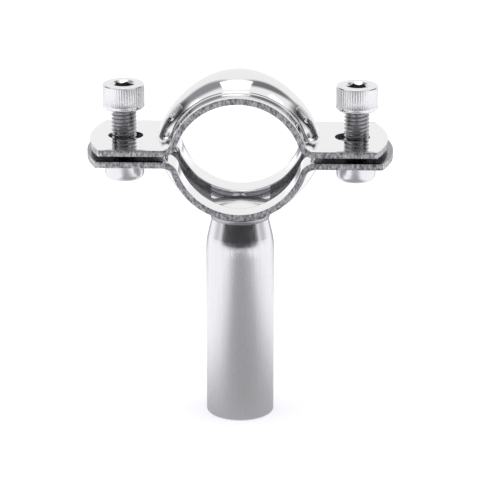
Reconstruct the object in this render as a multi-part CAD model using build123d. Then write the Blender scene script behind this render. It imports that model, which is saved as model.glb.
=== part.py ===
from build123d import *
from math import sqrt
import os

# A weld-mount hanger for one tube: a stamped lower half band welded on a necked tube stem,
# a loose upper half band, and two socket-head cap screws in round nuts under the lower ears.
# Millimetres. The origin is the centre of the stem's free end, +Z runs up the stem, the held
# tube lies along Y and the ears reach out along X.

# the tube that the hanger holds
tube_diameter = 40.0
seat_clearance = 0.15

# the two stamped half bands
sheet = 2.0
band_width = 33.0
lip_width = 6.2
channel_depth = 4.8
crease_radius = 1.6
half_circle_shortfall = 3.0
root_bend_radius = 3.0
cut_edge_chamfer = 0.3
ear_end_radius = 38.0
ear_past_screw = 11.7
upper_ear_setback = 1.3
ear_gap = 1.8
upper_half_shift = -0.4

# the flat that is pressed into the bottom of the lower half's channel
seat_press = 2.3
seat_edge_chamfer = 0.6

# the necked tube stem and its weld
stem_length = 68.7
stem_diameter = 22.0
stem_wall = 2.0
neck_length = 9.8
neck_diameter = 17.4
shoulder_radius = 24.0
stem_end_chamfer = 0.4
weld_height = 2.3
weld_climb = 1.0
weld_leg = 1.5

# the socket-head cap screws
screw_beside_crest = 10.05
thread_diameter = 8.0
screw_length = 20.0
screw_tip_chamfer = 0.8
head_diameter = 13.2
head_height = 8.0
head_top_chamfer = 0.35
head_foot_chamfer = 0.6
socket_across_flats = 6.0
socket_depth = 4.6
socket_mouth_chamfer = 0.35
screw_backed_out = 9.2
left_socket_turn = -15.0
right_socket_turn = 22.0

# the slots in the upper ears
slot_inset = 0.9
slot_length = 11.2
slot_width = 9.0

# the round press-in nuts under the lower ears
nut_diameter = 12.5
nut_height = 8.2
nut_foot_chamfer = 1.3
nut_collar_diameter = 10.4
thread_clearance = 0.05

# how near two lengths lie when they count as equal
near = 0.01

# radii, reaches and heights that follow
lip_radius = tube_diameter / 2 + seat_clearance
outer_radius = lip_radius + sheet
crest_radius = outer_radius + channel_depth
screw_x = crest_radius + screw_beside_crest
lower_ear_reach = screw_x + ear_past_screw
upper_ear_reach = lower_ear_reach - upper_ear_setback
lower_centre_z = stem_length + crest_radius - seat_press
lower_face_z = lower_centre_z - half_circle_shortfall
upper_face_z = lower_face_z + ear_gap
upper_ear_top_z = upper_face_z + sheet
lower_ear_underside_z = lower_face_z - sheet
head_underside_z = upper_ear_top_z + screw_backed_out


def corners_at(area, x, y):
    """The corners of an area that lie at x or -x, at height y."""
    return [v for v in area.vertices() if abs(abs(v.X) - x) < near and abs(v.Y - y) < near]


def radial_section(lip, arc_radius, crease):
    """The area under one face of the band's section, from the ring's axis out to that face.

    It is flat over each lip and an arc over the channel, with a crease between them."""
    half = band_width / 2
    crest = lip + channel_depth
    chord = sqrt(2 * channel_depth * arc_radius - channel_depth**2)
    outline = (
        Polyline((chord, lip), (half, lip), (half, 0), (-half, 0), (-half, lip), (-chord, lip))
        + ThreePointArc((-chord, lip), (0, crest), (chord, lip))
    )
    area = make_face(outline)
    creases = [v for v in area.vertices() if abs(abs(v.X) - chord) < near and v.Y > lip / 2]
    return fillet(creases, crease)


def turned_about_tube_axis(area):
    """Turns a radial section round the held tube's axis, with its seam below the mating face."""
    return Rot(0, 180, 0) * revolve(Plane.YZ * area, Axis.Y)


def pressed_flat(body, top):
    """Cuts a turned body off at a flat and breaks the edge of the flat."""
    lid = Pos(0, 0, top + crest_radius) * Box(4 * crest_radius, 2 * band_width, 2 * crest_radius)
    body = body - lid
    rim = body.faces().sort_by(Axis.Z)[-1].edges()
    return chamfer(rim, seat_edge_chamfer)


def bent_profile(ear_reach):
    """The strap's outer side, seen along the tube: a round back and two ears, with their bends.

    The ring's centre is at the origin and the mating face lies above it."""
    ear_top = half_circle_shortfall + sheet
    area = Circle(outer_radius) + Pos(0, ear_top - sheet / 2) * Rectangle(2 * ear_reach, sheet)
    corner = sqrt(outer_radius**2 - ear_top**2)
    return fillet(corners_at(area, corner, ear_top), root_bend_radius)


def hollow_profile(ear_reach):
    """What lies inside the strap: the held tube's space and everything past the mating face."""
    face = half_circle_shortfall
    below = 2 * crest_radius
    area = Circle(lip_radius) + Pos(0, face - below / 2) * Rectangle(4 * ear_reach, below)
    corner = sqrt(lip_radius**2 - face**2)
    return fillet(corners_at(area, corner, face), root_bend_radius + sheet)


def ear_outline(ear_reach):
    """The strap's outline from above: straight sides and two ends on wide arcs."""
    half = band_width / 2
    corner = ear_reach - (ear_end_radius - sqrt(ear_end_radius**2 - half**2))
    return make_face(
        Line((-corner, -half), (corner, -half))
        + ThreePointArc((corner, -half), (ear_reach, 0), (corner, half))
        + Line((corner, half), (-corner, half))
        + ThreePointArc((-corner, half), (-ear_reach, 0), (-corner, -half))
    )


def along_tube(area):
    """Extrudes an area of the XZ plane to both sides, past the band's width."""
    return extrude(Plane.XZ * area, band_width, both=True)


def broken_cut_edges(band):
    """Breaks the long edges that the blanking tool left on the strap's sides and ends."""
    half = band_width / 2
    cut_faces = [f for f in band.faces() if abs(abs(f.center().Y) - half) < near]
    cut_faces += band.faces().sort_by(Axis.X)[-1:] + band.faces().sort_by(Axis.X)[:1]
    rims = [edge for face in cut_faces for edge in face.edges() if edge.length > sheet + near]
    return chamfer(rims, cut_edge_chamfer)


def half_band(ear_reach, press=0.0):
    """One half band, open side down, with the ring's centre at the origin."""
    half = band_width / 2
    arc_radius = ((half - lip_width) ** 2 + channel_depth**2) / (2 * channel_depth)
    outside = turned_about_tube_axis(radial_section(outer_radius, arc_radius, crease_radius))
    inside = turned_about_tube_axis(
        radial_section(lip_radius, arc_radius - sheet, crease_radius + sheet)
    )
    if press:
        outside = pressed_flat(outside, crest_radius - press)
        inside = pressed_flat(inside, crest_radius - sheet - press)
    strap = extrude(Plane.XZ * bent_profile(ear_reach), half, both=True)
    band = outside + strap - along_tube(hollow_profile(ear_reach)) - inside
    outline = extrude(ear_outline(ear_reach), 2 * crest_radius, both=True)
    return broken_cut_edges(band & outline)


def upper_half_band():
    """The loose upper half, with a slot in each ear."""
    band = half_band(upper_ear_reach)
    ear_z = half_circle_shortfall + sheet / 2
    for side in (-1, 1):
        slot = extrude(SlotOverall(slot_length, slot_width), sheet, both=True)
        band -= Pos(side * (screw_x - slot_inset), 0, ear_z) * slot
    return Pos(upper_half_shift, 0, upper_face_z - half_circle_shortfall) * band


def lower_half_band():
    """The lower half, turned over, with a round hole for a nut's collar in each ear."""
    band = Rot(0, 180, 0) * half_band(lower_ear_reach, seat_press)
    ear_z = -half_circle_shortfall - sheet / 2
    for side in (-1, 1):
        band -= Pos(side * screw_x, 0, ear_z) * Cylinder(nut_collar_diameter / 2, 2 * sheet)
    return Pos(0, 0, lower_centre_z) * band


def stem_tube():
    """The stem: a tube drawn in to a neck at the top, open at its free end."""
    radius = stem_diameter / 2
    bore = radius - stem_wall
    neck = neck_diameter / 2
    kink = stem_length - neck_length
    outline = Polyline(
        (bore, 0),
        (radius - stem_end_chamfer, 0),
        (radius, stem_end_chamfer),
        (radius, kink),
        (neck, stem_length),
        (neck - stem_wall, stem_length),
        (bore, kink),
        close=True,
    )
    area = make_face(outline)
    area = fillet(corners_at(area, radius, kink), shoulder_radius)
    return revolve(Plane.XZ * area, Axis.Z)


def stem_weld(band, stem):
    """The weld bead, which fills the corner between the neck and the lower half band."""
    neck = neck_diameter / 2
    slope = (stem_diameter - neck_diameter) / 2 / neck_length
    foot = (neck + slope * weld_height, stem_length - weld_height)
    top = (neck + weld_leg, stem_length + weld_climb)
    inner = neck - stem_wall / 2
    outline = Polyline(foot, top, (inner, top[1]), (inner, foot[1]), close=True)
    bead = revolve(Plane.XZ * make_face(outline), Axis.Z) - band - stem
    return bead.solids().sort_by(SortBy.VOLUME)[-1]


def cap_screw(side, socket_turn):
    """A socket-head cap screw, backed out of the upper ear."""
    head = Cylinder(head_diameter / 2, head_height, align=(Align.CENTER, Align.CENTER, Align.MIN))
    head = chamfer(head.edges().sort_by(Axis.Z)[-1], head_top_chamfer)
    head = chamfer(head.edges().sort_by(Axis.Z)[0], head_foot_chamfer)
    socket = Rot(0, 0, socket_turn) * RegularPolygon(socket_across_flats / 2, 6, major_radius=False)
    head -= Pos(0, 0, head_height - socket_depth) * extrude(socket, socket_depth)
    mouth_radius = socket_across_flats / sqrt(3) + socket_mouth_chamfer
    mouth = Cone(0, mouth_radius, mouth_radius, align=(Align.CENTER, Align.CENTER, Align.MAX))
    head -= Pos(0, 0, head_height) * mouth
    shank = Cylinder(
        thread_diameter / 2, screw_length, align=(Align.CENTER, Align.CENTER, Align.MAX)
    )
    shank = chamfer(shank.edges().sort_by(Axis.Z)[0], screw_tip_chamfer)
    return Pos(side * screw_x, 0, head_underside_z) * (head + shank)


def round_nut(side):
    """A round nut under a lower ear, with its collar pressed into the ear."""
    body = Cylinder(nut_diameter / 2, nut_height, align=(Align.CENTER, Align.CENTER, Align.MAX))
    body = chamfer(body.edges().sort_by(Axis.Z)[0], nut_foot_chamfer)
    collar = Cylinder(nut_collar_diameter / 2, sheet, align=(Align.CENTER, Align.CENTER, Align.MIN))
    through = 2 * (nut_height + sheet)
    thread = Cylinder(thread_diameter / 2 + thread_clearance, 2 * through)
    return Pos(side * screw_x, 0, lower_ear_underside_z) * (body + collar - thread)


def main():
    os.makedirs("parts", exist_ok=True)
    lower = lower_half_band()
    stem = stem_tube()
    parts = {
        "upper_half_band": upper_half_band(),
        "lower_half_band": lower,
        "stem_tube": stem,
        "stem_weld": stem_weld(lower, stem),
        "left_cap_screw": cap_screw(-1, left_socket_turn),
        "right_cap_screw": cap_screw(1, right_socket_turn),
        "left_round_nut": round_nut(-1),
        "right_round_nut": round_nut(1),
    }
    for name, solid in parts.items():
        solid.label = name
        export_step(solid, f"parts/{name}.step")


main()
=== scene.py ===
# %% [markdown]
# # A weld-mount pipe hanger
# The hanger holds one 40 mm tube between two pressed stainless half bands, on a short stem that
# is welded to a beam or a post. Two socket-head cap screws pull the halves together.
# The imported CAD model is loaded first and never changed. Each piece made here lies where its
# CAD node lies, in metres, and rides on the body that the node belongs to.

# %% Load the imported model
from math import atan2, cos, degrees, pi, radians, sin, sqrt

import bmesh
import bpy
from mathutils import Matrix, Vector


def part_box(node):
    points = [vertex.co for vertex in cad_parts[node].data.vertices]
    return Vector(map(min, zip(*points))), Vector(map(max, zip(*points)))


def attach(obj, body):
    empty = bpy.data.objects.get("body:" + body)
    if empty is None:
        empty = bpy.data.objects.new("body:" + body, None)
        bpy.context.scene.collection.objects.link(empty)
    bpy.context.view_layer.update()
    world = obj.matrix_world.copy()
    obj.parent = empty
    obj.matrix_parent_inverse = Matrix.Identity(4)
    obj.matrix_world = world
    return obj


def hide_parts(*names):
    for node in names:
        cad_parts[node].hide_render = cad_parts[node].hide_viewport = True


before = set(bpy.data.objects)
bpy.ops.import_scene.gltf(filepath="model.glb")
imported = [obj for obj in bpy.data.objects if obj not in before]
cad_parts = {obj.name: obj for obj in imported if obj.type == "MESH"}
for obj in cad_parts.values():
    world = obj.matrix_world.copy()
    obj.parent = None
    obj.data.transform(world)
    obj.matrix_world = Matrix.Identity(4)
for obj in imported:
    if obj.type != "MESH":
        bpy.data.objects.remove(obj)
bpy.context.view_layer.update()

MM = 0.001

# %% [markdown]
# ## Sizes from the frame
# Outer sizes and places are read from the CAD nodes in millimetres, so each piece lands where its
# node is. A few sizes that a box can't tell are written down: the sheet's thickness, how far each
# half is short of a half circle, and the screw head's size.

# %% Sizes from the frame
X, Y, Z = range(3)


def corners(node):
    """A CAD node's lowest and highest corner, in millimetres."""
    return [[round(value / MM, 2) for value in corner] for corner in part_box(node)]


upper_low, upper_high = corners("upper_half_band")
lower_low, lower_high = corners("lower_half_band")
screw_low, screw_high = corners("right_cap_screw")
nut_low, nut_high = corners("right_round_nut")
stem_top = corners("stem_tube")[1][Z]

sheet = 2.0
half_circle_shortfall = 3.0
channel_depth = 4.8
half_width = upper_high[Y]
upper_reach = (upper_high[X] - upper_low[X]) / 2
upper_centre_x = (upper_high[X] + upper_low[X]) / 2
upper_centre_z = upper_low[Z] - half_circle_shortfall
lower_reach = lower_high[X]
lower_centre_z = lower_high[Z] + half_circle_shortfall
crest_radius = upper_high[Z] - upper_centre_z
lip_radius = crest_radius - channel_depth
pressed_flat = lower_centre_z - lower_low[Z]

head_radius = 6.6
head_height = 8.0
screw_x = screw_high[X] - head_radius
head_underside = screw_high[Z] - head_height
shank_length = head_underside - screw_low[Z]

nut_radius = nut_high[X] - screw_x
ear_underside = nut_high[Z] - sheet
nut_height = ear_underside - nut_low[Z]
print("crest radius", round(crest_radius, 2), "screws at", round(screw_x, 2), "mm,",
      "shank", round(shank_length, 2), "nut", round(nut_radius, 2), "by", round(nut_height, 2))

# %% [markdown]
# ## Working as by hand
# Blender's operators act on what is selected, as a hand at the mouse would. The loaded CAD nodes
# are all selected, so nothing is left selected before a new piece starts. Small helpers take a
# piece, choose parts of its mesh by their place, apply a modifier and cut with a second piece.

# %% Helpers for selecting and applying
def take(piece):
    """Deselects everything, then selects this piece alone and makes it the active one."""
    bpy.ops.object.select_all(action="DESELECT")
    piece.select_set(True)
    bpy.context.view_layer.objects.active = piece


def choose(what, test):
    """In edit mode, selects only the VERT, EDGE or FACE parts whose middle passes the test."""
    bpy.ops.mesh.select_mode(type=what)
    bpy.ops.mesh.select_all(action="DESELECT")
    edit = bmesh.from_edit_mesh(bpy.context.edit_object.data)
    for part in {"VERT": edit.verts, "EDGE": edit.edges, "FACE": edit.faces}[what]:
        ends = [part] if what == "VERT" else part.verts
        middle = sum((end.co for end in ends), Vector()) / len(ends)
        part.select_set(test(middle))
    bmesh.update_edit_mesh(bpy.context.edit_object.data)


def apply_modifier(piece, kind, **settings):
    """Adds a modifier to the piece and applies it at once."""
    take(piece)
    modifier = piece.modifiers.new(kind.title(), kind)
    for name, value in settings.items():
        setattr(modifier, name, value)
    bpy.ops.object.modifier_apply(modifier=modifier.name)


def cut_away(piece, cutter):
    """Takes the cutter's shape out of the piece and clears the cutter away."""
    apply_modifier(
        piece, "BOOLEAN", object=cutter, operation="DIFFERENCE", solver="EXACT",
        material_mode="TRANSFER",
    )
    bpy.data.objects.remove(cutter)


bpy.ops.object.select_all(action="DESELECT")
print("nothing is selected:", not bpy.context.selected_objects)

# %% [markdown]
# ## Finishes
# Every part is stainless steel, and only the last process on each surface makes it look
# different. Mirror-polished sheet shows the studio in it, a satin tube blurs it along the
# drawing direction, and a sheared edge only scatters it. So each material starts from the same
# metal, and its roughness and bump carry the process. The sizes of all patterns are real
# millimetres, turned to the scale that a texture node takes.

# %% Helpers for colours and nodes
def linear(hex_colour):
    """An sRGB hex colour as the linear red, green, blue and alpha that shaders take."""
    channels = [int(hex_colour[at:at + 2], 16) / 255 for at in (0, 2, 4)]
    return [c / 12.92 if c <= 0.04045 else ((c + 0.055) / 1.055) ** 2.4 for c in channels] + [1.0]


def per_mm(millimetres):
    """The texture scale that gives a pattern this size on coordinates in metres."""
    return 1.0 / (millimetres * MM)


def add_node(tree, kind, settings=None, sockets=None):
    """Adds a node with its settings. Each socket gets a value or another node's output."""
    node = tree.nodes.new(kind)
    for name, value in (settings or {}).items():
        setattr(node, name, value)
    for name, value in (sockets or {}).items():
        if isinstance(value, bpy.types.NodeSocket):
            tree.links.new(value, node.inputs[name])
        else:
            node.inputs[name].default_value = value
    return node


def on_object(tree, stretch=None):
    """The object's own coordinates, stretched along an axis where its scale is under 1."""
    place = add_node(tree, "ShaderNodeTexCoord").outputs["Object"]
    if stretch is None:
        return place
    mapping = add_node(tree, "ShaderNodeMapping", sockets={"Vector": place, "Scale": stretch})
    return mapping.outputs["Vector"]


def noise(tree, place, millimetres, detail, roughness=0.5):
    """Noise whose coarsest spots are about this many millimetres wide."""
    return add_node(tree, "ShaderNodeTexNoise", sockets={
        "Vector": place, "Scale": per_mm(millimetres), "Detail": detail, "Roughness": roughness,
    }).outputs["Fac"]


def spread(tree, value, low, high, to_low=0.0, to_high=1.0, way="LINEAR"):
    """The value between low and high, spread out between two new ends."""
    return add_node(tree, "ShaderNodeMapRange", {"interpolation_type": way}, {
        "Value": value, "From Min": low, "From Max": high, "To Min": to_low, "To Max": to_high,
    }).outputs["Result"]


def between_colours(tree, factor, first, second):
    """A colour between two hex colours."""
    return add_node(tree, "ShaderNodeMix", {"data_type": "RGBA"}, {
        "Factor": factor, "A": linear(first), "B": linear(second),
    }).outputs["Result"]


def bump(tree, height, millimetres, strength=1.0, over=None):
    """A bump this many millimetres high, laid over another bump where one is given."""
    sockets = {"Height": height, "Distance": millimetres * MM, "Strength": strength}
    if over is not None:
        sockets["Normal"] = over
    return add_node(tree, "ShaderNodeBump", sockets=sockets).outputs["Normal"]


def new_steel(name, colour, roughness):
    """A stainless steel with one finish. Returns the material, its node tree and its shader."""
    material = bpy.data.materials.new(name)
    material.use_nodes = True
    shader = material.node_tree.nodes["Principled BSDF"]
    shader.inputs["Metallic"].default_value = 1.0
    shader.inputs["Base Color"].default_value = linear(colour)
    shader.inputs["Roughness"].default_value = roughness
    return material, material.node_tree, shader


print("7 mm as a texture scale:", round(per_mm(7), 1))

# %% [markdown]
# ### Mirror-polished pressed sheet
# The half bands are bright stainless sheet, pressed in a die after polishing. What gives that
# away is a mirror that isn't quite flat: the sheet keeps a faint orange peel about a millimetre
# wide, and the die leaves slow waves some centimetre long. Both are bumps of a few hundredths
# of a millimetre at most, and the roughness varies a little where the sheet was handled.

# %% Pressed sheet
mirror_sheet, tree, shader = new_steel("stainless_sheet_mirror_polished", "EBEBEC", 0.07)
place = on_object(tree)
waves = noise(tree, place, 9, 1.0)
peel = noise(tree, place, 1.1, 2.0)
slow_bump = bump(tree, waves, 0.02)
tree.links.new(spread(tree, waves, 0.35, 0.7, 0.05, 0.11), shader.inputs["Roughness"])
tree.links.new(bump(tree, peel, 0.0015, over=slow_bump), shader.inputs["Normal"])
print("made", mirror_sheet.name)

# %% [markdown]
# ### Unpolished inside, with painted shade
# The polishing wheel can't reach into the channel from the inside, so there the sheet keeps the
# dull finish of the rolling mill, rougher than the lips. Its darker grey is painted shade, with
# soft blotches some three millimetres wide where the press's oil was burnt on and wiped off.

# %% Unpolished inside, painted shade
# the darker grey of this mill finish is painted shade for the channel's inside and the ears'
# mating faces
mill_and_painted_shade_sheet, tree, shader = new_steel("stainless_sheet_mill_finish_painted_shade", "8A8A8C", 0.26)
blotches = noise(tree, on_object(tree), 3, 3.0)
blotches_and_painted_shade_colour = between_colours(tree, blotches, "747476", "9C9C9E")
tree.links.new(blotches_and_painted_shade_colour, shader.inputs["Base Color"])
tree.links.new(bump(tree, blotches, 0.01), shader.inputs["Normal"])
print("made", mill_and_painted_shade_sheet.name)

# %% [markdown]
# ### Sheared edge
# The blanking tool shears the sheet's edge: half of it is a burnished band, the rest is torn.
# To the eye it is a dull, grainy grey line. The grain is half a millimetre wide with finer
# grain in it, and it runs through the sheet's thickness, so the noise is stretched along Z.

# %% Sheared edge
sheared_edge, tree, shader = new_steel("stainless_sheet_sheared_edge", "C8C8CA", 0.42)
tears = noise(tree, on_object(tree, (1.0, 1.0, 0.55)), 0.6, 4.0, 0.65)
tear_colour = between_colours(tree, spread(tree, tears, 0.36, 0.66), "76767A", "F0F0F2")
tree.links.new(tear_colour, shader.inputs["Base Color"])
tree.links.new(bump(tree, tears, 0.03, 0.7), shader.inputs["Normal"])
print("made", sheared_edge.name)

# %% [markdown]
# ### Satin drawn tube
# The stem is a drawn tube that was ground along its length. Its grain is fine lines along Z,
# which spread a reflection sideways, and small pits lie between them. The lines are drawn half
# a millimetre wide, coarser than the real grit, so that they show in the render. The drawing
# die burnished the neck, so it is smoother and mirrors the dark front of the studio more
# sharply than the shank below it.

# %% Satin tube
neck_starts = 56
neck_smooth = 61

satin_tube, tree, shader = new_steel("stainless_tube_satin_ground", "E4E4E5", 0.3)
grain = noise(tree, on_object(tree, (1.0, 1.0, 0.03)), 0.5, 3.0)
place = on_object(tree)
pits = noise(tree, place, 0.9, 2.0)
height = add_node(tree, "ShaderNodeSeparateXYZ", sockets={"Vector": place}).outputs["Z"]
burnished = spread(tree, height, neck_starts * MM, neck_smooth * MM, 1.0, 0.6, "SMOOTHSTEP")
tube_roughness = add_node(tree, "ShaderNodeMath", {"operation": "MULTIPLY"})
tree.links.new(spread(tree, grain, 0.3, 0.7, 0.24, 0.36), tube_roughness.inputs[0])
tree.links.new(burnished, tube_roughness.inputs[1])
tree.links.new(tube_roughness.outputs["Value"], shader.inputs["Roughness"])
grain_bump = bump(tree, grain, 0.004)
tree.links.new(bump(tree, pits, 0.004, over=grain_bump), shader.inputs["Normal"])
print("made", satin_tube.name)

# %% [markdown]
# ### Cap screws, nuts and the weld
# The screws are cold-formed, then their heads are turned and knurled, which leaves small marks
# about a millimetre wide. The forged socket stays dull and dark, and the rolled thread is a
# smooth mid grey. The nuts are turned and tumbled to a soft shine, with faint rings round their
# axis. The weld is brushed clean, bright and uneven.

# %% Screw, nut and weld metals
formed_steel, tree, shader = new_steel("stainless_screw_turned", "E6E6E7", 0.16)
marks = noise(tree, on_object(tree), 0.8, 3.0)
tree.links.new(spread(tree, marks, 0.3, 0.7, 0.15, 0.3), shader.inputs["Roughness"])
tree.links.new(bump(tree, marks, 0.006), shader.inputs["Normal"])

forged_socket = new_steel("stainless_socket_forged", "6C6C6E", 0.5)[0]
rolled_thread = new_steel("stainless_thread_rolled", "A2A2A4", 0.24)[0]

# a Wave texture turns its coordinate into a phase 20 times as large, so that this size of half
# a millimetre gives a ring about every three millimetres
wave_phase = 20
turned_nut, tree, shader = new_steel("stainless_nut_turned_tumbled", "E2E2E3", 0.2)
rings = add_node(tree, "ShaderNodeTexWave", {"wave_type": "BANDS", "bands_direction": "Z"}, {
    "Vector": on_object(tree), "Scale": per_mm(0.5) / wave_phase, "Distortion": 1.5,
})
tree.links.new(bump(tree, rings.outputs["Fac"], 0.002), shader.inputs["Normal"])

weld_bead, tree, shader = new_steel("stainless_weld_bead", "B0B0B2", 0.2)
scale_marks = noise(tree, on_object(tree), 0.7, 3.0)
tree.links.new(bump(tree, scale_marks, 0.05), shader.inputs["Normal"])
print("made", len([m for m in bpy.data.materials if m.name.startswith("stainless")]), "finishes")

# %% [markdown]
# ## The half bands
# Each half band is one blank of 2 mm sheet, pressed over a die. A raised channel runs round the
# back between two flat lips, and both ends run out flat into the ears. Here the die is a formula
# and the blank is a grid: a row of the grid is one line along the strap, and each of its points
# is laid on the die. Modelling it from a primitive with extrusions can't keep the bend at the
# ears tangent all the way round the channel's foot, so the press's own way is used. Solidify
# then gives the sheet its thickness inwards, as the real punch and die do.
#
# Across the strap, the section is an arc over the channel, a crease and a flat lip. The channel
# is widest and tallest in the middle of the back. By 70 degrees from there it has narrowed, and
# its crest dips by a millimetre on the way down.

# %% The die's section across the strap
crease_radius = 1.6
channel_half = 11.0
narrowing = 3.6
narrow_at = 70
crest_dip = 1.0
dip_ends_at = 96
arc_rows, crease_rows, lip_rows = 24, 8, 5
last_row = arc_rows + crease_rows + lip_rows


def channel_size(lean):
    """Half the channel's width and its crest's radius, at an angle in degrees from its middle."""
    half = channel_half - narrowing * min(lean / narrow_at, 1)
    dip = sin(pi * min(lean / dip_ends_at, 1)) ** 2
    return half, crest_radius - crest_dip * dip


def die_point(row, lean):
    """The point (across, radius) of one row on the outer side; row 0 is the channel's middle."""
    half, crest = channel_size(lean)
    over = crest - lip_radius - crease_radius
    arc = (half**2 + over**2 - crease_radius**2) / (2 * (crease_radius + over))
    turn = atan2(half, arc - over)
    if row <= arc_rows:
        angle = turn * row / arc_rows
        return arc * sin(angle), crest - arc + arc * cos(angle)
    row -= arc_rows
    if row <= crease_rows:
        angle = turn * (1 - row / crease_rows)
        return half - crease_radius * sin(angle), lip_radius + crease_radius * (1 - cos(angle))
    row -= crease_rows
    return half + (half_width - half) * row / lip_rows, lip_radius


for lean in (0, 35, 70):
    across, radius = die_point(arc_rows + crease_rows, lean)
    print("at", lean, "degrees the lip begins", round(across, 1), "mm from the middle,",
          "under a crest of", round(die_point(0, lean)[1], 2))

# %% [markdown]
# Along the strap, a row goes over the back, down a bend and out along the ear. Each point asks
# the section for its own angle. The bend is 3 mm at the lips and tighter where the channel ends.

# %% The die's run along the strap
ear_top = half_circle_shortfall + sheet
ear_end_radius = 38.0
root_bend = 3.0
bend_tightens = 1.6
foot_lean = 80


def die_run(row, ear_reach, back_steps=64, bend_steps=8, ear_steps=14):
    """Points (x, across, z) of one row, from the top of the back to one ear's end."""
    across, radius = die_point(row, foot_lean)
    share = (radius - lip_radius) / (crest_radius - lip_radius)
    bend = root_bend - bend_tightens * share * share * (3 - 2 * share)
    bend_x = sqrt((radius + bend) ** 2 - (ear_top + bend) ** 2)
    foot = atan2(ear_top + bend, bend_x)
    points = []
    for step in range(back_steps + 1):
        angle = (pi / 2 - foot) * step / back_steps
        back_across, back_radius = die_point(row, degrees(angle))
        points.append((back_radius * sin(angle), back_across, back_radius * cos(angle)))
    lift = radius - back_radius
    for step in range(1, bend_steps + 1):
        angle = pi + foot + (pi / 2 - foot) * step / bend_steps
        x, z = bend_x + bend * cos(angle), ear_top + bend + bend * sin(angle)
        points.append((x - lift * (1 - step / bend_steps), across, z))
    ear_end = ear_reach - (ear_end_radius - sqrt(ear_end_radius**2 - across**2))
    for step in range(1, ear_steps + 1):
        points.append((bend_x + (ear_end - bend_x) * step / ear_steps, across, ear_top))
    return points


def pressed_down(height, flat, edge=0.4):
    """A height held down to a flat, with a soft edge round the flat."""
    over = height - flat
    if over < -edge:
        return height
    if over > edge:
        return flat
    return height - (over + edge) ** 2 / (4 * edge)


def pressed_blank(name, ear_reach, flat=None):
    """A grid laid on the die, with the ring's centre at the origin and the ears' top at 5 mm."""
    half_runs = [die_run(row, ear_reach) for row in range(last_row + 1)]
    columns = 2 * len(half_runs[0]) - 2
    bpy.ops.object.select_all(action="DESELECT")
    bpy.ops.mesh.primitive_grid_add(
        x_subdivisions=columns, y_subdivisions=2 * last_row, size=2
    )
    blank = bpy.context.active_object
    blank.name = name
    for vertex in blank.data.vertices:
        column = round(vertex.co.x * columns / 2)
        row = round(vertex.co.y * last_row)
        x, across, z = half_runs[abs(row)][abs(column)]
        if flat is not None:
            z = pressed_down(z, flat)
        x, across = (-x if column < 0 else x), (-across if row < 0 else across)
        vertex.co = Vector((x, across, z)) * MM
    blank.data.update()
    return blank


upper_band = pressed_blank("upper_band", upper_reach)
lower_band = pressed_blank("lower_band", lower_reach, flat=pressed_flat)
print("points in each blank:", len(upper_band.data.vertices), len(lower_band.data.vertices))

# %% [markdown]
# The thickness goes inwards and the rim takes the sheared finish. It is drawn a hair thinner
# than 2 mm, so that ears that meet at the end of the travel touch and don't cut each other.
# The channel's inside takes the mill finish at the sides and round the pressed flat, and so do
# the ears' mating faces; there its darker grey is painted shade. The slots and holes are then
# punched with cutters that carry the sheared finish, and the blanking tool's edges are broken by
# a small bevel, which catches the thin white line that every edge shows.

# %% Thickness, holes and edges
# the third finish is the mill finish, darkened as painted shade, and the sizes below say where it
# goes
POLISHED, SHEARED, MILL_AND_PAINTED_SHADE = range(3)
hair = 0.015
painted_shade_from_x = 9.5
painted_shade_round_flat_from_z = 21.8
flat_inside_z = 22.5


def give_thickness(blank):
    """Turns the pressed grid into 2 mm sheet, with a finish for each process and painted shade on
    the mill finish.
    """
    for finish in (mirror_sheet, sheared_edge, mill_and_painted_shade_sheet):
        blank.data.materials.append(finish)
    apply_modifier(
        blank, "SOLIDIFY", thickness=(sheet - hair) * MM, offset=-1.0, use_even_offset=True,
        material_offset_rim=SHEARED,
    )
    for face in blank.data.polygons:
        height = face.center.z / MM
        outwards = Vector((face.center.x, 0, face.center.z))
        inside = face.normal.dot(outwards.normalized()) < -0.3
        raised = outwards.length > (lip_radius - sheet + 0.5) * MM
        on_a_side = abs(face.center.x) > painted_shade_from_x * MM and height > ear_top + 1
        on_the_flat = face.normal.z < -0.98 and height > flat_inside_z
        round_the_flat = height > painted_shade_round_flat_from_z and not on_the_flat
        between_ears = face.normal.z < -0.999 and height < ear_top
        # these faces get the mill finish, whose darker grey is painted shade in the channel,
        # round the pressed flat and between the ears
        if between_ears or (inside and raised and (on_a_side or round_the_flat)):
            face.material_index = MILL_AND_PAINTED_SHADE


def punch(band, x, length, width):
    """Punches a round-ended slot, or a round hole where the length is the width."""
    bpy.ops.object.select_all(action="DESELECT")
    bpy.ops.mesh.primitive_cylinder_add(
        vertices=96, radius=width / 2 * MM, depth=4 * sheet * MM, location=(0, 0, 0)
    )
    cutter = bpy.context.active_object
    cutter.data.materials.append(sheared_edge)
    stretch = (length - width) / 2 * MM
    bpy.ops.object.mode_set(mode="EDIT")
    for side in (-1, 1):
        choose("VERT", lambda place: place.x * side > 0)
        bpy.ops.transform.translate(value=(side * stretch, 0, 0))
    bpy.ops.mesh.select_all(action="SELECT")
    bpy.ops.transform.translate(value=(x * MM, 0, (ear_top - sheet / 2) * MM))
    bpy.ops.object.mode_set(mode="OBJECT")
    cut_away(band, cutter)


for band in (upper_band, lower_band):
    give_thickness(band)
slot_inset = 0.9
slot_length, slot_width = 11.2, 9.0
collar_hole = 10.4
for side in (-1, 1):
    punch(upper_band, side * (screw_x - slot_inset), slot_length, slot_width)
    punch(lower_band, side * screw_x, collar_hole, collar_hole)
for band in (upper_band, lower_band):
    apply_modifier(
        band, "BEVEL", width=0.28 * MM, segments=2, angle_limit=radians(55), material=POLISHED
    )
    take(band)
    bpy.ops.object.shade_smooth_by_angle(angle=radians(28))
    print(band.name, "faces:", len(band.data.polygons))

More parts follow.
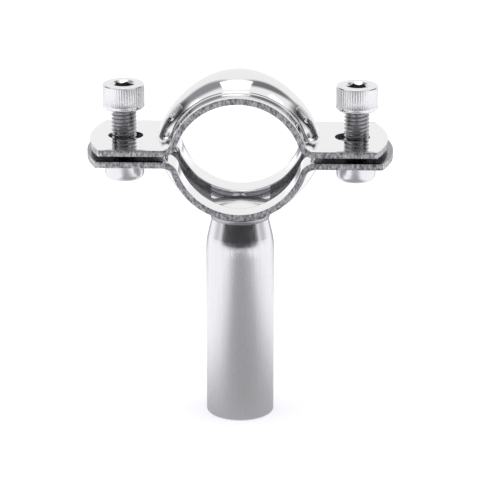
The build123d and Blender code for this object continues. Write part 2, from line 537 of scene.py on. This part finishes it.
# %% [markdown]
# The lower half is the same form turned over. Each half is then put where the CAD has it, and
# the place is applied to the mesh, so the object itself stays at the origin.

# %% Place the half bands
def put(piece, place, turn=(0, 0, 0)):
    """Turns and moves a piece, and applies both to its mesh."""
    take(piece)
    piece.rotation_euler = turn
    piece.location = Vector(place) * MM
    bpy.ops.object.transform_apply(location=True, rotation=True, scale=True)


def stand_for(piece, node, body):
    """Makes a finished piece stand for its CAD node and ride on its body."""
    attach(piece, body)
    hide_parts(node)


put(upper_band, (upper_centre_x, 0, upper_centre_z))
put(lower_band, (0, 0, lower_centre_z), (0, pi, 0))
stand_for(upper_band, "upper_half_band", "upper_half")
stand_for(lower_band, "lower_half_band", "base")
for band, node in ((upper_band, "upper_half_band"), (lower_band, "lower_half_band")):
    heights = [vertex.co.z for vertex in band.data.vertices]
    print(band.name, "z in mm:", round(min(heights) / MM, 2), round(max(heights) / MM, 2),
          "CAD:", [corner[Z] for corner in corners(node)])

# %% [markdown]
# ## The cap screws
# A socket-head cap screw is cold-formed, its head is knurled so that fingers can start it, and a
# hexagon is punched into the top. The head is built from one round face that is extruded
# upwards ring by ring, as it would be by hand. It starts a hundredth of a millimetre up, so that
# a tightened head only rests on the ear. Then every second column of the knurled band is pushed
# in. The knurl is drawn coarser than the real one, whose grooves would be too fine to show.

# %% Screw head
knurl_grooves = 58
knurl_low, knurl_high = 1.7, 7.4
groove_radius = 6.46


def rise_by_rings(name, rings, sides):
    """A solid of stacked rings: the first is a round face, and each next one is extruded up."""
    bpy.ops.object.select_all(action="DESELECT")
    bpy.ops.mesh.primitive_circle_add(
        vertices=sides, radius=rings[0][0] * MM, fill_type="NGON", location=(0, 0, 0)
    )
    piece = bpy.context.active_object
    piece.name = name
    bpy.ops.object.mode_set(mode="EDIT")
    bpy.ops.mesh.select_all(action="SELECT")
    bpy.ops.transform.translate(value=(0, 0, rings[0][1] * MM))
    for (old_radius, old_z), (radius, z) in zip(rings, rings[1:]):
        bpy.ops.mesh.extrude_region_move(
            TRANSFORM_OT_translate={"value": (0, 0, (z - old_z) * MM)}
        )
        bpy.ops.transform.resize(value=(radius / old_radius, radius / old_radius, 1))
    bpy.ops.mesh.select_all(action="SELECT")
    bpy.ops.mesh.normals_make_consistent(inside=False)
    bpy.ops.object.mode_set(mode="OBJECT")
    return piece


# radius and height of each ring: the broken foot, a plain band, the knurl and the broken top
head_rings = [
    (5.85, 0.01), (6.0, 0.06), (6.5, 0.5), (head_radius, 0.75), (head_radius, 1.45),
    (head_radius, 1.75), (head_radius, 7.35), (head_radius, 7.6), (6.5, 7.85), (6.3, 7.97),
    (6.15, head_height),
]
screw = rise_by_rings("screw", head_rings, 2 * knurl_grooves)
step_angle = pi / knurl_grooves
bpy.ops.object.mode_set(mode="EDIT")
choose("VERT", lambda place: knurl_low * MM < place.z < knurl_high * MM
       and round(atan2(place.y, place.x) / step_angle) % 2 == 0)
bpy.ops.transform.resize(value=(groove_radius / head_radius, groove_radius / head_radius, 1))
bpy.ops.object.mode_set(mode="OBJECT")
screw.data.materials.append(formed_steel)
screw.data.materials.append(forged_socket)
print("head points:", len(screw.data.vertices))

# %% [markdown]
# The socket is 6 mm across its flats. A cone opens its mouth by a third of a millimetre, which
# shows as the bright ring round the dark hexagon. Both cutters stand half a millimetre out of
# the head, so that they cut through its top.

# %% Socket
socket_corner = 6.0 / 2 / cos(pi / 6)
socket_depth = 4.6
mouth_opening = 0.35
stand_out = 0.5
cutter_top = head_height + stand_out
cone_radius = socket_corner + mouth_opening + stand_out
for sides, top, bottom, low, metal in (
    (96, cone_radius, 0.01, cutter_top - cone_radius, formed_steel),
    (6, socket_corner, socket_corner, head_height - socket_depth, forged_socket),
):
    bpy.ops.object.select_all(action="DESELECT")
    bpy.ops.mesh.primitive_cone_add(
        vertices=sides, radius1=bottom * MM, radius2=top * MM, depth=(cutter_top - low) * MM,
        location=(0, 0, (cutter_top + low) / 2 * MM),
    )
    cutter = bpy.context.active_object
    cutter.data.materials.append(metal)
    cut_away(screw, cutter)
print("head with its socket:", len(screw.data.polygons), "faces")

# %% [markdown]
# The thread is M8 with a pitch of 1.25 mm. One pitch of its profile is drawn by extruding a
# single vertex from point to point, and the Screw modifier winds it down the shank. The rough
# ends are trimmed by intersecting it with a plain rod that has the screw's chamfered tip.

# %% Thread
pitch = 1.25
thread_radius = 4.0
root_radius = 3.34
root_ends, crest_begins, crest_ends = 0.31, 0.70, 0.86


def draw_line(name, points):
    """Draws a line in the XZ plane: a plane is merged to one vertex, which is then extruded."""
    bpy.ops.object.select_all(action="DESELECT")
    bpy.ops.mesh.primitive_plane_add(size=MM, location=(0, 0, 0))
    piece = bpy.context.active_object
    piece.name = name
    bpy.ops.object.mode_set(mode="EDIT")
    bpy.ops.mesh.select_all(action="SELECT")
    bpy.ops.mesh.merge(type="CENTER")
    bpy.ops.transform.translate(value=(points[0][0] * MM, 0, points[0][1] * MM))
    for (x0, z0), (x1, z1) in zip(points, points[1:]):
        bpy.ops.mesh.extrude_region_move(
            TRANSFORM_OT_translate={"value": ((x1 - x0) * MM, 0, (z1 - z0) * MM)}
        )
    bpy.ops.object.mode_set(mode="OBJECT")
    return piece


low = -shank_length - 2 * pitch
turns = 19
thread = draw_line("thread", [
    (root_radius, low), (root_radius, low + root_ends), (thread_radius, low + crest_begins),
    (thread_radius, low + crest_ends), (root_radius, low + pitch),
])
apply_modifier(
    thread, "SCREW", axis="Z", screw_offset=pitch * MM, iterations=turns, steps=48,
    render_steps=48, use_merge_vertices=True, merge_threshold=0.001 * MM, use_smooth_shade=False,
)
take(thread)
bpy.ops.object.mode_set(mode="EDIT")
for cut_z, way in ((low + 1.6 * pitch, -1), (0.5, 1)):
    bpy.ops.mesh.select_all(action="SELECT")
    bpy.ops.mesh.bisect(
        plane_co=(0, 0, cut_z * MM), plane_no=(0, 0, way), use_fill=True, clear_outer=True
    )
bpy.ops.mesh.select_all(action="SELECT")
bpy.ops.mesh.normals_make_consistent(inside=False)
bpy.ops.object.mode_set(mode="OBJECT")

# the rod stands out of the thread everywhere but at the tip, which it chamfers
past_thread = thread_radius + 0.05
tip_rod = rise_by_rings("tip_rod", [
    (3.2, -shank_length), (past_thread, -shank_length + 0.85), (past_thread, 0.3),
], 96)
apply_modifier(thread, "BOOLEAN", object=tip_rod, operation="INTERSECT", solver="EXACT")
bpy.data.objects.remove(tip_rod)
thread.data.materials.clear()
thread.data.materials.append(rolled_thread)
print("thread faces:", len(thread.data.polygons))

# %% [markdown]
# Head and thread become one piece. It is copied for the other side, each copy with its own mesh,
# and each socket is turned as it stopped on the real hanger.

# %% Place the screws
def copy_of(piece, name):
    """A copy of a piece, with its own mesh."""
    take(piece)
    bpy.ops.object.duplicate(linked=False)
    copy = bpy.context.active_object
    copy.name = name
    return copy


take(screw)
thread.select_set(True)
bpy.ops.object.join()
bpy.ops.object.shade_smooth_by_angle(angle=radians(24))
for side, name, turn in ((-1, "left", -15.0), (1, "right", 22.0)):
    copy = copy_of(screw, name + "_screw_piece")
    put(copy, (side * screw_x, 0, head_underside), (0, 0, radians(turn)))
    stand_for(copy, name + "_cap_screw", name + "_screw")
bpy.data.objects.remove(screw)
print("screws stand at x =", round(-screw_x, 2), "and", round(screw_x, 2))

# %% [markdown]
# ## The round nuts
# The nuts are turned from bar, with a rounded foot and a collar that is pressed into the ear. A
# turned part is a profile spun round its axis, so its outline is drawn once, its foot corner is
# bevelled as a corner, and the line is spun. The collar ends just under the mating face.

# %% Nuts
bore_radius = 4.05
bore_break = 0.45
collar_radius = 5.17
collar_top = sheet - 0.03
foot_rounding = 1.9
rim_rounding = 0.25
near = 0.1
nut_line = draw_line("nut", [
    (bore_radius, collar_top), (collar_radius, collar_top), (collar_radius, 0.0),
    (nut_radius, 0.0), (nut_radius, -nut_height), (bore_radius + bore_break, -nut_height),
    (bore_radius, -nut_height + bore_break), (bore_radius, collar_top),
])


def spin_round(piece, steps):
    """Spins the line that was drawn into a closed turned part, with its faces outwards."""
    take(piece)
    bpy.ops.object.mode_set(mode="EDIT")
    bpy.ops.mesh.select_all(action="SELECT")
    bpy.ops.mesh.spin(steps=steps, angle=2 * pi, center=(0, 0, 0), axis=(0, 0, 1))
    bpy.ops.mesh.select_all(action="SELECT")
    bpy.ops.mesh.remove_doubles(threshold=0.002 * MM)
    bpy.ops.mesh.normals_make_consistent(inside=False)
    bpy.ops.object.mode_set(mode="OBJECT")


take(nut_line)
bpy.ops.object.mode_set(mode="EDIT")
edge_x = (nut_radius - near) * MM
choose("VERT", lambda place: place.x > edge_x and place.z < (near - nut_height) * MM)
bpy.ops.mesh.bevel(affect="VERTICES", offset=foot_rounding * MM, segments=8)
choose("VERT", lambda place: place.x > edge_x and place.z > -near * MM)
bpy.ops.mesh.bevel(affect="VERTICES", offset=rim_rounding * MM, segments=3)
bpy.ops.object.mode_set(mode="OBJECT")
spin_round(nut_line, 96)
nut_line.data.materials.append(turned_nut)
bpy.ops.object.shade_smooth_by_angle(angle=radians(30))
for side, name in ((-1, "left"), (1, "right")):
    copy = copy_of(nut_line, name + "_nut_piece")
    put(copy, (side * screw_x, 0, ear_underside))
    stand_for(copy, name + "_round_nut", "base")
    print(copy.name, "faces:", len(copy.data.polygons))
bpy.data.objects.remove(nut_line)

# %% [markdown]
# ## The weld
# The bead was laid round the neck in one pass. Its ripples are the pool freezing step by step,
# about 1.2 mm apart. A torus is stretched to the corner it fills, pulled up a little where the
# channel curves away from the neck at the front and back, and every second ring is drawn in.

# %% Weld bead
bead_radius = 8.9
bead_thickness = 0.72
bead_stretch = 1.7
bead_pulled_up = 0.2
bead_drop = 0.65
ripples = 46
bpy.ops.object.select_all(action="DESELECT")
bpy.ops.mesh.primitive_torus_add(
    major_radius=bead_radius * MM, minor_radius=bead_thickness * MM,
    major_segments=2 * ripples, minor_segments=16, location=(0, 0, 0),
)
weld = bpy.context.active_object
weld.name = "weld_piece"
ripple_angle = pi / ripples
bpy.ops.object.mode_set(mode="EDIT")
choose("VERT", lambda place: round(atan2(place.y, place.x) / ripple_angle) % 2 == 0
       and Vector((place.x, place.y)).length > bead_radius * MM)
bpy.ops.transform.resize(value=(0.978, 0.978, 0.9))
bpy.ops.mesh.select_all(action="SELECT")
bpy.ops.transform.resize(value=(1, 1, bead_stretch))
bpy.ops.object.mode_set(mode="OBJECT")
for vertex in weld.data.vertices:
    front = (vertex.co.y / (bead_radius * MM)) ** 2
    vertex.co.z += bead_pulled_up * MM * front
put(weld, (0, 0, stem_top - bead_drop))
weld.data.materials.append(weld_bead)
bpy.ops.object.shade_smooth_by_angle(angle=radians(60))
stand_for(weld, "stem_weld", "base")
print("weld faces:", len(weld.data.polygons))

# %% [markdown]
# ## The stem
# The stem's CAD solid already has the drawn-in neck and the square end, so it stays as it is and
# only takes its satin finish.

# %% Stem finish
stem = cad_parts["stem_tube"]
for slot in stem.material_slots:
    slot.material = satin_tube
print("stem faces:", len(stem.data.polygons), "finish:", stem.material_slots[0].material.name)

# %% [markdown]
# ## The studio
# Bright metal shows the room it stands in, so the room is part of the look. A plain white floor
# and a white world give the product-photo ground. A softbox hangs overhead, two soft side lamps
# stand at the sides, and grey cards do what a photographer's flags do: the metal shows them as
# its darker bands, and the camera never sees them.

# %% World and floor
def seen_directly(tree):
    """The larger of the camera, glossy and transmission ray's signals."""
    light_path = add_node(tree, "ShaderNodeLightPath")
    first = add_node(tree, "ShaderNodeMath", {"operation": "MAXIMUM"})
    tree.links.new(light_path.outputs["Is Camera Ray"], first.inputs[0])
    tree.links.new(light_path.outputs["Is Glossy Ray"], first.inputs[1])
    second = add_node(tree, "ShaderNodeMath", {"operation": "MAXIMUM"})
    tree.links.new(first.outputs[0], second.inputs[0])
    tree.links.new(light_path.outputs["Is Transmission Ray"], second.inputs[1])
    return second.outputs[0]


def mixed_shader(tree, factor, first, second):
    """A mix of two shader nodes."""
    mix = add_node(tree, "ShaderNodeMixShader", sockets={"Fac": factor})
    tree.links.new(first.outputs[0], mix.inputs[1])
    tree.links.new(second.outputs[0], mix.inputs[2])
    return mix.outputs[0]


def empty_material(name):
    """A material without nodes yet. Returns it and its node tree."""
    material = bpy.data.materials.new(name)
    material.use_nodes = True
    material.node_tree.nodes.clear()
    return material, material.node_tree


world = bpy.data.worlds.new("white_studio")
bpy.context.scene.world = world
world.use_nodes = True
tree = world.node_tree
tree.nodes.clear()
lighting = add_node(tree, "ShaderNodeBackground", sockets={
    "Color": linear("F8F8FA"), "Strength": 0.88,
})
backdrop = add_node(tree, "ShaderNodeBackground", sockets={
    "Color": linear("FFFFFF"), "Strength": 1.0,
})
add_node(tree, "ShaderNodeOutputWorld", sockets={
    "Surface": mixed_shader(tree, seen_directly(tree), lighting, backdrop),
})

bpy.ops.object.select_all(action="DESELECT")
bpy.ops.mesh.primitive_plane_add(size=8, location=(0, 0, 0))
floor = bpy.context.active_object
floor.name = "floor"
paper, tree = empty_material("white_paper_sweep")
matte = add_node(tree, "ShaderNodeBsdfDiffuse", sockets={"Color": linear("EDEDF0")})
glow = add_node(tree, "ShaderNodeEmission", sockets={
    "Color": linear("FCFCFF"), "Strength": 0.36,
})
nothing = add_node(tree, "ShaderNodeEmission", sockets={"Strength": 0.0})
summed = add_node(tree, "ShaderNodeAddShader")
tree.links.new(matte.outputs[0], summed.inputs[0])
tree.links.new(mixed_shader(tree, seen_directly(tree), nothing, glow), summed.inputs[1])
add_node(tree, "ShaderNodeOutputMaterial", sockets={"Surface": summed.outputs[0]})
floor.data.materials.append(paper)
print("floor:", floor.name, "world:", world.name)

# %% [markdown]
# ### Lamps and cards
# A lamp's brightness is written as the brightness that the metal would show, where 1 is white,
# and turned to watts from its size. A card is a grey sheet that fades out at its rim. The front
# card is the dark room behind the camera, the side cards make the dark wedges where the channel
# runs into the ears, the table cards grey the upright faces, which mirror the floor, and the
# ceiling cards grey the bulge beside its white crest.

# %% Lamps and cards
clamp_middle = Vector((0, 0, 0.09))
lying_below = 0.01


def towards_clamp(place, axis):
    """The turn that points this axis of an object at the middle of the clamp."""
    return (clamp_middle - Vector(place)).to_track_quat(axis, "Y").to_euler()


def softbox(name, place, size, brightness):
    """A rectangular lamp that faces the object."""
    lamp = bpy.data.lights.new(name, "AREA")
    lamp.shape = "RECTANGLE"
    lamp.size, lamp.size_y = size
    lamp.energy = brightness * size[0] * size[1] * pi
    stand = bpy.data.objects.new(name, lamp)
    bpy.context.scene.collection.objects.link(stand)
    stand.location = place
    stand.rotation_euler = towards_clamp(place, "-Z")


def card(name, place, size, grey):
    """A grey card that shows only in reflections. It faces the object or lies on the floor."""
    bpy.ops.object.select_all(action="DESELECT")
    bpy.ops.mesh.primitive_plane_add(size=2, location=place)
    piece = bpy.context.active_object
    piece.name = name
    if place[2] > lying_below:
        piece.rotation_euler = towards_clamp(place, "Z")
    piece.scale = (size[0] / 2, size[1] / 2, 1)
    material, tree = empty_material(name + "_grey")
    from_middle = add_node(tree, "ShaderNodeTexGradient", {"gradient_type": "SPHERICAL"}, {
        "Vector": on_object(tree),
    })
    softened = spread(tree, from_middle.outputs["Fac"], 0.0, 0.6, way="SMOOTHSTEP")
    clear = add_node(tree, "ShaderNodeBsdfTransparent")
    shade = add_node(tree, "ShaderNodeEmission", sockets={"Color": linear(grey)})
    add_node(tree, "ShaderNodeOutputMaterial", sockets={
        "Surface": mixed_shader(tree, softened, clear, shade),
    })
    piece.data.materials.append(material)
    piece.visible_camera = False
    piece.visible_diffuse = False
    piece.visible_shadow = False
    piece.visible_transmission = False


softbox("overhead_softbox", (-0.06, 0.0, 1.0), (0.5, 0.7), 1.25)
softbox("left_lamp", (-0.95, -0.25, 0.65), (0.2, 0.3), 1.3)
softbox("right_lamp", (0.85, -0.25, 0.85), (0.2, 0.3), 1.3)
card("front_card", (0.0, -1.0, 0.25), (7.6, 1.1), "303034")
card("stem_table_card", (0.02, -0.14, 0.0004), (0.28, 0.5), "ACACAF")
card("back_table_card", (0.0, 0.3, 0.0006), (0.55, 0.5), "A4A4A8")
card("head_table_card", (0.0, -0.36, 0.0008), (0.4, 0.3), "B4B4B8")
card("left_side_card", (-1.0, 0.16, 0.33), (1.4, 0.8), "303034")
card("right_side_card", (1.0, 0.16, 0.33), (1.4, 0.8), "303034")
card("left_ceiling_card", (-0.85, 0.25, 1.0), (1.1, 2.2), "98989C")
card("right_ceiling_card", (0.55, 0.25, 1.1), (0.7, 2.2), "7C7C80")

# %% [markdown]
# ## The camera
# The camera stands where a fit to the photo's edges puts it: 0.73 m in front, looking down
# almost 20 degrees through a long lens, a little to the right of the tube's axis.

# %% Camera
lens = bpy.data.cameras.new("camera")
lens.lens = 180.33
lens.sensor_width = 36.0
camera = bpy.data.objects.new("camera", lens)
bpy.context.scene.collection.objects.link(camera)
camera.location = (0.0209, -0.7322, 0.3197)
camera.rotation_euler = (radians(70.41), 0, radians(1.64))
bpy.context.scene.camera = camera
bpy.context.scene.view_settings.view_transform = "Standard"
print("camera at", [round(value, 3) for value in camera.location])
